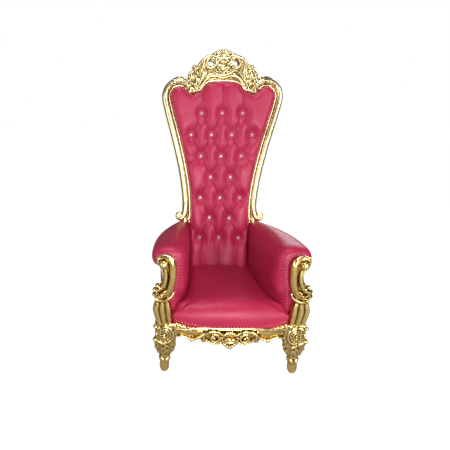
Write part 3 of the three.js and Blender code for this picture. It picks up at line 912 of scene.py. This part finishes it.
def apron_right():
    lower = spline(APRON_LOWER, 60)
    lip = [(0, 283), (70, 282), (140, 284), (215, 282), (298, 284)]
    field_lower = [(298, 229), (246, 229), (208, 212), (184, 222), (152, 230)]
    field_upper = [(298, 272), (246, 272), (208, 270), (184, 270), (146, 268)]
    garland = [(40, 238), (68, 258), (106, 260), (138, 246), (164, 226), (202, 208)]
    return [
        tube(lip, -361, 7.5, 1.1),
        tube([(x, z - 15) for x, z in lip], -353, 4),
        tube(lower[::4] + (0, 4), -354, 6, 1.1),
        band(field_lower, field_upper, -343, 11),
        tube(garland, -358, [7, 9, 10, 11, 9, 6], 1.1),
        tube(curl((82, 216), radians(70), 0.95, 28, 16), -357, 8, 1.1),
        blob((84, -352, 216), (9, 10, 9)),
        leaf([(128, 256), (142, 234), (146, 214), (132, 196)], -358, [7, 14, 14, 7], 11, 2),
        leaf([(36, 196), (60, 190), (86, 188), (112, 192)], -357, [6, 9, 9, 5], 9, 3),
        blob((207, -356, 207), (10, 10, 12)),
        blob((192, -355, 213), (8, 9, 9), -0.8),
        blob((222, -355, 214), (8, 9, 9), 0.8),
        blob((30, -362, 244), (11, 10, 8), 0.9),
        blob((13, -359, 171), (9, 9, 10)),
        blob((26, -357, 182), (9, 9, 10), -0.7),
        leaf([(300, 314), (268, 302), (224, 291)], -371, [8, 10, 5], 9, 3, 22),
    ]


def add_apron():
    right = apron_right()
    top = [(0, 289), (298, 289)]
    middle = [
        plate(whole_outline(np.vstack([top, spline(APRON_LOWER, 60)])), -343, -323),
        blob((0, -366, 216), (33, 16, 14)),
        tube(ellipse((0, 216), 43, 23), -360, 5.5),
        blob((0, -358, 163), (11, 11, 11)),
    ]
    middle += fan((0, 230), -360, 36, 1.1, 7, 6.5, 9)
    mesh = carved("apron", middle + right + flipped(right), APRON_VOXEL, 3)
    piece("apron", mesh, shaded_lower_gilt, ["front_apron"])


# Plain rails and back legs, with softened edges

def rail_section(corners):
    """A rail's closed outline with points close enough for an even tone."""
    return spaced(closed(np.array(corners)), 5)[:-1]


def add_side_rails():
    section = rail_section([
        (-20, 230), (-16, 226), (16, 226), (20, 230), (20, 284),
        (23, 288), (23, 296), (19, 301), (14, 304), (-20, 304),
    ])
    stations = np.linspace((345, -286), (262, 176), 60)
    right = mesh_of("side_rail", [loft([[(x + a, y, z) for a, z in section] for x, y in stations])])
    pair("plain_rail", right, shaded_lower_gilt, "side_rail", smooth=False)


def add_back_rail():
    section = rail_section([
        (183, 231), (187, 227), (219, 227), (223, 231), (223, 280),
        (226, 284), (226, 290), (222, 295), (218, 299), (183, 299),
    ])
    rings = [[(x, y, z) for y, z in section] for x in np.linspace(-225, 225, 60)]
    mesh = mesh_of("back_rail", [loft(rings)])
    piece("plain_rail_back", mesh, shaded_lower_gilt, ["back_rail"], smooth=False)


def add_back_legs():
    rings = []
    for down in np.linspace(0, 1, 40):
        half = 26 - 6 * down
        rings.append(superellipse(256 + 8 * down, 202 + 163 * down**1.4, half, half, 299 * (1 - down), 32))
    right = mesh_of("back_leg", [loft(rings)])
    pair("sabre_leg", right, shaded_lower_gilt, "back_leg")


# Upholstery: height fields inside an outline

def to_outline(points, outline):
    """Distance to a closed outline, the nearest point on it, and which points are inside."""
    best = np.full(len(points), np.inf)
    near = np.zeros_like(points)
    inside = np.zeros(len(points), bool)
    for start, step in zip(outline, np.roll(outline, -1, axis=0) - outline):
        offset = points - start
        share = np.clip(offset @ step / max(step @ step, 1e-9), 0, 1)
        foot = start + share[:, None] * step
        distance = np.linalg.norm(points - foot, axis=1)
        closer = distance < best
        best[closer] = distance[closer]
        near[closer] = foot[closer]
        crosses = (start[1] > points[:, 1]) != (start[1] + step[1] > points[:, 1])
        rise = step[1] if abs(step[1]) > 1e-9 else 1e-9
        inside ^= crosses & (points[:, 0] < start[0] + (points[:, 1] - start[1]) / rise * step[0])
    return best, near, inside


def without_corner_joins(cells):
    """The cells, less those that meet a neighbour only at a corner."""
    while True:
        padded = np.pad(cells, 1)
        a, b, c, d = padded[:-1, :-1], padded[1:, :-1], padded[1:, 1:], padded[:-1, 1:]
        around = a.astype(int) + b + c + d
        joins = np.argwhere((around == 2) & (a == c))
        if not len(joins):
            return cells
        for i, k in joins:
            cells[max(i - 1, 0):i + 1, max(k - 1, 0):k + 1] = False


def rim_of(quads):
    """The points round the edge of a sheet of cells, in order."""
    edges = np.concatenate([quads[:, [s, (s + 1) % 4]] for s in range(4)])
    seen = {tuple(edge) for edge in edges.tolist()}
    following = {a: b for a, b in seen if (b, a) not in seen}
    rim = [next(iter(following))]
    while following[rim[-1]] != rim[0]:
        rim.append(following[rim[-1]])
    return rim


def filled_outline(outline, spacing):
    """A grid of points and square cells that fills an outline, with its rim pulled onto the outline."""
    low, high = outline.min(axis=0), outline.max(axis=0)
    half = int(np.ceil(high[0] / spacing))
    xs = np.arange(-half, half + 1) * spacing
    zs = np.arange(low[1], high[1] + spacing, spacing)
    gx, gz = np.meshgrid(xs, zs, indexing="ij")
    points = np.column_stack([gx.ravel(), gz.ravel()])
    distance, near, inside = to_outline(points, outline)
    kept = (inside & (distance > 0.3 * spacing)).reshape(gx.shape)
    cells = without_corner_joins(kept[:-1, :-1] & kept[1:, :-1] & kept[1:, 1:] & kept[:-1, 1:])
    index = np.arange(gx.size).reshape(gx.shape)
    i, k = np.nonzero(cells)
    quads = np.stack([index[i, k], index[i + 1, k], index[i + 1, k + 1], index[i, k + 1]], -1)
    used, packed = np.unique(quads, return_inverse=True)
    quads = packed.reshape(quads.shape)
    points, near = points[used], near[used]
    rim = rim_of(quads)
    points[rim] = near[rim]
    return points, quads, rim


def walled(verts, quads, rim, base):
    """A closed shape from a sheet of cells: a wall from its rim to the points of a flat base."""
    count = len(verts)
    ring = list(range(count, count + len(rim)))
    faces = [tuple(quad) for quad in quads.tolist()]
    for k, (a, b) in enumerate(zip(rim, rim[1:] + rim[:1])):
        faces.append((b, a, ring[k], ring[(k + 1) % len(rim)]))
    faces.append(tuple(reversed(ring)))
    return np.vstack([verts, base]), faces


def raised_pad(name, outline, spacing, height, back):
    """A closed pad over an outline; height gives how far each point stands forward of the rim's plane."""
    points, quads, rim = filled_outline(outline, spacing)
    distance, _, _ = to_outline(points, outline)
    distance[rim] = 0
    verts = lifted(points, -height(points, distance))
    return mesh_of(name, [walled(verts, quads, rim, lifted(points[rim], back))])


def button_places():
    return [(step * BUTTON_HALF_PITCH, BUTTON_TOP_Z - k * BUTTON_ROW_DROP)
            for k, row in enumerate(BUTTON_ROWS) for step in row]


def pleats():
    """The folds of the back: between neighbouring buttons, and from the outer buttons to the edges."""
    places = button_places()
    folds = []
    for a in places:
        for b in places:
            if abs(b[0] - a[0]) == BUTTON_HALF_PITCH and abs(a[1] - b[1] - BUTTON_ROW_DROP) < 1:
                folds.append((a, b, 1.0))
    outer = 2 * BUTTON_HALF_PITCH
    rows = [BUTTON_TOP_Z - k * BUTTON_ROW_DROP for k in range(len(BUTTON_ROWS))]
    for x in (-outer, 0, outer):
        folds.append(((x, rows[0]), (x, rows[0] + 190), 0.7))
        folds.append(((x, rows[6]), (0.92 * x, rows[6] - 260), 0.5))
    for side in (-1, 1):
        for row, steps, reach, rise, strength in EDGE_FOLDS:
            start = (side * steps * BUTTON_HALF_PITCH, rows[row])
            folds.append((start, (side * reach, rows[row] + rise), strength))
    return folds


def fold_depth(points):
    """How strongly the folds draw the leather in, about 1 in the middle of a full fold."""
    total = np.zeros(len(points))
    for start, end, strength in pleats():
        start = np.array(start)
        step = np.array(end) - start
        share = np.clip((points - start) @ step / (step @ step), 0, 1)
        away = np.linalg.norm(points - start - share[:, None] * step, axis=1)
        line = strength * (0.45 * np.exp(-away / FOLD_CREASE) + 0.55 * np.exp(-((away / FOLD_SPREAD) ** 2)))
        total += (line * (1 - 0.25 * np.sin(pi * share))) ** 3
    return np.cbrt(total)


def button_pull(points):
    """The distance to the nearest button, and the small gathers that run out from the buttons."""
    nearest = np.full(len(points), np.inf)
    gathers = np.zeros(len(points))
    for k, place in enumerate(button_places()):
        offset = (points - place) * (1.0, 0.82)
        away = np.linalg.norm(offset, axis=1)
        angle = np.arctan2(offset[:, 0], offset[:, 1])
        rays = np.cos(9 * angle + k) + 0.6 * np.cos(14 * angle + 2.3 * k)
        gathers += rays * np.exp(-(((away - GATHER_RADIUS) / GATHER_WIDTH) ** 2))
        nearest = np.minimum(nearest, away)
    return nearest, gathers


def tufted_height(points, distance):
    """Full between the folds, drawn in at every fold and down to the tuft floor at every button."""
    x, z = points.T
    button, gathers = button_pull(points)
    well = np.exp(-((np.maximum(button - WELL_FLAT, 0) / WELL_REACH) ** 1.7))
    height = PAD_CROWN - FOLD_DEPTH * fold_depth(points)
    height = height * (1 - well) + TUFT_FLOOR * well + 0.9 * gathers * (1 - well)
    swell = 2.5 * np.sin(x / 47 + 1.0) * np.cos(z / 61)
    height += swell * (1 - well)
    creases = np.sin(x / 6.1) + np.sin(x / 4.3 + 1.0) * np.sin(x / 23)
    height += 0.6 * creases * np.exp(-(((z - 562) / 36) ** 2))
    roll = np.clip((distance - PAD_TUCK) / EDGE_ROLL, 0, 1)
    edge = np.sqrt(np.maximum(1 - (1 - roll) ** 2.2, 0))
    return 1.0 + (height - 1.0) * (0.12 + 0.88 * edge) * np.clip(distance / 4 + 0.25, 0, 1)


def add_back_pad():
    low = [(PAD_HALF_LOW, 720), (PAD_HALF_LOW, PAD_BOTTOM)]
    outline = whole_outline(np.vstack([leather_edge(-PAD_TUCK), low]))
    mesh = raised_pad("back_cushion", outline, PAD_GRID, tufted_height, -0.5)
    soft = evaluated("back_cushion", mesh, [("SMOOTH", dict(factor=0.4, iterations=2))])
    pad = piece("back_cushion", soft, leather, ["back_pad"], BACK)
    return pad


def panel_height(points, distance):
    """A thin even pad with slight waves."""
    waves = 0.8 * np.sin(points[:, 0] / 70) * np.sin(points[:, 1] / 110 + 0.7)
    crown = np.sqrt(1 - (1 - np.clip(distance / 60, 0, 1)) ** 2)
    return (10 + waves) * crown * np.clip(distance / 3, 0, 1)


def add_outside_back():
    low = [(PAD_HALF_LOW, 694), (286, 688), (281, 305)]
    outline = whole_outline(np.vstack([leather_edge(1.0), low]))
    mesh = raised_pad("outside_back", outline, PANEL_GRID, panel_height, BACK_THICKNESS)
    points = points_of(mesh)
    points[:, 1] = BACK_THICKNESS * MM - points[:, 1]
    set_points(mesh, points)
    mesh.flip_normals()
    panel = piece("outside_back_leather", mesh, leather, ["outside_back"], BACK)
    return panel


# Upholstery: arms and seat, swollen as cloth from a slightly smaller shape

def arm_flare(share, z):
    """How far the inner face stands back at its lower front, beside the seat's corner."""
    low = np.clip((490 - z) / 75, 0, 1)
    return ARM_FLARE * low**2 * (3 - 2 * low) * np.exp(-6 * share)


def arm_section(share, inset=0.0, forward=0.0):
    """One ring of the arm, from the seat up over the roll and down its outside."""
    def mix(key, power=1.0):
        return ARM_FRONT[key] + (ARM_REAR[key] - ARM_FRONT[key]) * share**power

    inner, outer, panel = mix("inner"), mix("outer", 2.4), mix("panel", 2.0)
    top = mix("top") + 9 * sin(pi * share)
    middle = (inner + outer) / 2
    under = ARM_ROLL_UNDER
    path = np.vstack([
        [(inner, ARM_BOTTOM)],
        bezier([(inner, top - 90), (inner, top - 24), (inner + 34, top), (middle, top)], 16),
        bezier([(middle, top), (outer - 20, top), (outer, top - 32), (outer, top - 66)], 16),
        bezier([(outer, top - 66), (outer, under + 10), (panel + 24, under), (panel, under - 4)], 16),
        [(panel, ARM_BOTTOM), (inner, ARM_BOTTOM)],
    ])
    x, z = resampled(path, ARM_RING_POINTS, endpoint=False).T
    x = x + np.where(x < middle, arm_flare(share, z) * (panel - x) / (panel - inner), 0)
    along = np.column_stack([np.roll(x, -1) - np.roll(x, 1), np.roll(z, -1) - np.roll(z, 1)])
    along /= np.linalg.norm(along, axis=1)[:, None]
    x, z = x + inset * along[:, 1], np.maximum(z - inset * along[:, 0], ARM_BOTTOM)
    rear = BACK_BASE_Y + z * tan(BACK_LEAN) - 6
    return np.column_stack([x, ARM_FRONT_Y - forward + (rear - ARM_FRONT_Y) * share, z])


def blown_up(name, skin, pressure, held):
    """The points of a skin after it is blown up as cloth, with the held points fixed."""
    obj = bpy.data.objects.new(name, skin)
    scene.collection.objects.link(obj)
    group = obj.vertex_groups.new(name="held")
    group.add(np.nonzero(held(points_of(skin) / MM))[0].tolist(), 1.0, "REPLACE")
    cloth = obj.modifiers.new("cloth", "CLOTH")
    settings = cloth.settings
    settings.quality = 5
    settings.mass = 0.4
    settings.tension_stiffness = settings.compression_stiffness = 12
    settings.bending_stiffness = 2.0
    settings.use_pressure = True
    settings.uniform_pressure_force = pressure
    settings.vertex_group_mass = "held"
    settings.effector_weights.gravity = 0
    cloth.collision_settings.use_collision = False
    for step in range(1, CLOTH_FRAMES + 1):
        scene.frame_set(step)
    graph = bpy.context.evaluated_depsgraph_get()
    result = points_of(bpy.data.meshes.new_from_object(obj.evaluated_get(graph)))
    bpy.data.objects.remove(obj)
    scene.frame_set(1)
    return result


def swollen(name, mesh, rounds, pressure, cap, held):
    """The mesh as a stuffed skin: remeshed and blown up, with every move kept under a cap."""
    remesh = ("REMESH", dict(mode="VOXEL", voxel_size=STUFFED_VOXEL * MM))
    skin = evaluated(name, mesh, [remesh, ("SMOOTH", dict(factor=0.5, iterations=rounds))])
    start = points_of(skin)
    move = blown_up(name, skin, pressure, held) - start
    size = np.linalg.norm(move, axis=1)[:, None]
    limit = cap * MM
    set_points(skin, start + move * (limit * np.tanh(size / limit) / np.maximum(size, 1e-9)))
    return evaluated(name, skin, [("SMOOTH", dict(factor=0.5, iterations=4))])


def add_gathers(mesh):
    """Small gathers in the leather round the front of the roll."""
    points = points_of(mesh) / MM
    x, y, z = points.T
    front = np.clip((ARM_FRONT_Y + 40 - y) / 30, 0, 1)
    around = np.arctan2(x - ROLL_MIDDLE[0], z - ROLL_MIDDLE[1])
    away = np.hypot(x - ROLL_MIDDLE[0], z - ROLL_MIDDLE[1])
    gathers = np.cos(38 * around) + 0.7 * np.cos(23 * around + 1.0)
    points[:, 1] -= 0.7 * gathers * front * np.exp(-(((away - 82) / 16) ** 2)) * (z > 560)
    set_points(mesh, points * MM)


def add_arms():
    facing = [(34, 0.0, 7), (22, 0.004, 4), (12, 0.018, 1), (4.5, 0.042, 0), (0, 0.09, 0)]
    rings = [arm_section(share, inset, forward) for inset, share, forward in facing]
    rings += [arm_section(share) for share in np.linspace(0.15, 1, 13)]
    solid = mesh_of("arm", [loft(rings)])
    right = swollen("arm", solid, 5, 2.5, 6.0, lambda p: (p[:, 2] < 330) | (p[:, 1] > 190))
    add_gathers(right)
    arms = pair("arm", right, leather, "arm_pad")
    return arms


def seat_outline():
    """The seat in plan: a bowed front with round corners, then in between the arms to the back."""
    front = spline([(0, -372), (110, -371), (210, -368), (278, -362), (311, -346), (318, -320)], 36)
    share = np.array([0.0, 0.04, 0.1, 0.18, 0.3, 0.5, 0.7, 0.9])
    inner = ARM_FRONT["inner"] + (ARM_REAR["inner"] - ARM_FRONT["inner"]) * share
    beside_arm = np.column_stack([inner + 20 + arm_flare(share, SEAT_TOP), -305 + 516 * share])
    beside_arm[-1, 1] = SEAT_REAR_Y
    return whole_outline(np.vstack([front, spline(beside_arm, 40)]))


def seat_edge(x):
    """The height of the seat's lower edge, which rises towards the posts."""
    return SEAT_LOW + SEAT_EDGE_RISE * np.clip(np.abs(x) / 300, 0, 1) ** 2.4


def seat_skin():
    """A domed top that turns over a big round lip down to the lower edge."""
    outline = seat_outline()
    points, quads, rim = filled_outline(outline, SEAT_GRID)
    distance, near, _ = to_outline(points, outline)
    distance[rim] = 0
    front = np.clip((-265 - near[:, 1]) / 60, 0, 1)
    lip = 36 + 42 * front
    start = radians(-24)
    angle = start + (pi / 2 - start) * np.clip(distance / lip, 0, 1)
    inward = (26 + 32 * front) * (cos(start) - np.cos(angle))
    scale = np.where(distance > lip, 1.0, inward / np.maximum(distance, 1e-6))
    x, y = (near + (points - near) * scale[:, None]).T
    dip = 8 * np.exp(-(((y + 60) / 130) ** 2) - (x / 150) ** 2)
    corners = 4 * np.exp(-(((y + 318) / 40) ** 2)) * np.clip((np.abs(x) - 150) / 100, 0, 1)
    top = np.maximum(SEAT_TOP + 18 * (1 - (x / 230) ** 2) - dip, SEAT_TOP) + corners
    rise = (np.sin(angle) - sin(start)) / (1 - sin(start))
    low = seat_edge(x)
    verts = np.column_stack([x, y, low + (top - low) * rise])
    base = verts[rim] * (1, 1, 0) + (0, 0, SEAT_LOW)
    return mesh_of("seat", [walled(verts, quads, rim, base)])


def add_seat():
    skin = swollen("seat", seat_skin(), 6, 3.0, 8.0, lambda p: (p[:, 2] < 312) | (p[:, 1] > 170))
    seat = piece("seat_cushion", skin, leather, ["seat_pad"])
    return seat


# Crystal buttons and nail heads

def crystal_button():
    """A round brilliant with its table to the front: a thin cup, a girdle and a crown of facets."""
    profile = [(10.6, 0, 0), (11.0, -1.8, 0), (10.2, -3.8, 0.2), (6.4, -7.8, 0), (5.4, -8.6, 0.2)]
    sides = 16
    rings = []
    for radius, y, turn in profile:
        angle = np.arange(sides) / sides * 2 * pi + turn
        reach = radius * (1 - 0.08 * (np.arange(sides) % 2) * (y < -3))
        rings.append(np.column_stack([reach * np.cos(angle), np.full(sides, y), reach * np.sin(angle)]))
    return loft(rings)


def add_buttons():
    points, faces = crystal_button()
    parts = [(points + (x, -TUFT_FLOOR - 0.6, z), faces) for x, z in button_places()]
    nodes = [f"back_button_{k:02d}" for k in range(1, len(parts) + 1)]
    piece("crystal_buttons", mesh_of("buttons", parts), crystal, nodes, BACK, smooth=False)


def dome():
    """One nail head, with its axis along Z."""
    sides = 10
    angle = np.arange(sides) / sides * 2 * pi
    rings = []
    for radius, z in ((3.0, -1.0), (3.0, 0.2), (2.6, 1.1), (1.8, 1.9), (0.6, 2.2)):
        rings.append(np.column_stack([radius * np.cos(angle), radius * np.sin(angle), np.full(sides, z)]))
    return loft(rings)


def nails(name, surfaces, spots, direction):
    """Nail heads at the points where lines from each spot along direction first meet a surface."""
    graph = bpy.context.evaluated_depsgraph_get()
    trees = [BVHTree.FromObject(surface, graph) for surface in surfaces]
    shape, faces = dome()
    parts = []
    for spot in spots:
        hits = [tree.ray_cast(Vector(spot), Vector(direction)) for tree in trees]
        hits = [hit for hit in hits if hit[0] is not None]
        if not hits:
            continue
        place, normal, _, _ = min(hits, key=lambda hit: hit[3])
        if normal.dot(Vector(direction)) > 0:
            normal = -normal
        turn = np.array(normal.to_track_quat("Z", "Y").to_matrix())
        parts.append((shape @ turn.T + np.array(place) / MM, faces))
    return piece(name, mesh_of(name, parts), brass)


def both_sides(row):
    """A row of spots and its mirror image, with those near the middle only once."""
    return np.vstack([row, row[row[:, 0] > 4] * (-1, 1)])


def add_nails(pad, panel, arms, seat):
    forward = BACK.to_3x3() @ Vector((0, 1, 0))
    row = both_sides(spaced(leather_edge(7.0), BACK_NAIL_GAP))
    nails("back_nails", [pad], [BACK @ Vector((x * MM, -0.3, z * MM)) for x, z in row], forward)
    rear = np.vstack([leather_edge(13.0), [(206, 706), (272, 672), (270, 322)]])
    row = both_sides(spaced(rear, REAR_NAIL_GAP))
    nails("rear_nails", [panel], [BACK @ Vector((x * MM, 0.3, z * MM)) for x, z in row], -forward)
    ring = [
        (406, 668), (386, 688), (350, 695), (312, 684), (290, 652), (286, 612),
        (290, 560), (298, 510), (304, 470), (306, 430), (305, 390), (302, 356),
    ]
    row = spaced(spline(ring, 90), NAIL_GAP)
    for side, sign, arm in zip(("left", "right"), (-1, 1), arms):
        spots = [(sign * x * MM, -0.6, z * MM) for x, z in row]
        nails(f"arm_nails_{side}", [arm, seat], spots, (0, 1, 0))
        spots = [(sign * 0.6, y * MM, (ARM_BOTTOM + 14) * MM) for y in np.arange(-280, 170, NAIL_GAP)]
        nails(f"side_nails_{side}", [arm], spots, (-sign, 0, 0))
    x = np.linspace(-296, 296, 80)
    row = spaced(np.column_stack([x, seat_edge(x) + 9]), NAIL_GAP)
    nails("seat_nails", [seat], [(x * MM, -0.6, z * MM) for x, z in row], (0, 1, 0))


add_camera()
add_backdrop()
add_floor()
for light in LIGHTS:
    add_light(*light)

# Two copies of one gold leaf with painted light: a lit one for the crest and stiles and a shaded one for
# the lower frame
lit_upper_gilt = gilt_material("gold_leaf", LIT_UPPER_GOLD, LIT_UPPER_GOLD_ROUGHNESS)
shaded_lower_gilt = gilt_material("shaded_lower_gold_leaf", SHADED_LOWER_GOLD, SHADED_LOWER_GOLD_ROUGHNESS)
leather = leather_material()
crystal = crystal_material()
brass = nail_material()

add_stiles()
add_crest()
add_posts()
add_apron()
add_side_rails()
add_back_rail()
add_back_legs()
pad = add_back_pad()
panel = add_outside_back()
arms = add_arms()
seat = add_seat()
add_buttons()
add_nails(pad, panel, arms, seat)
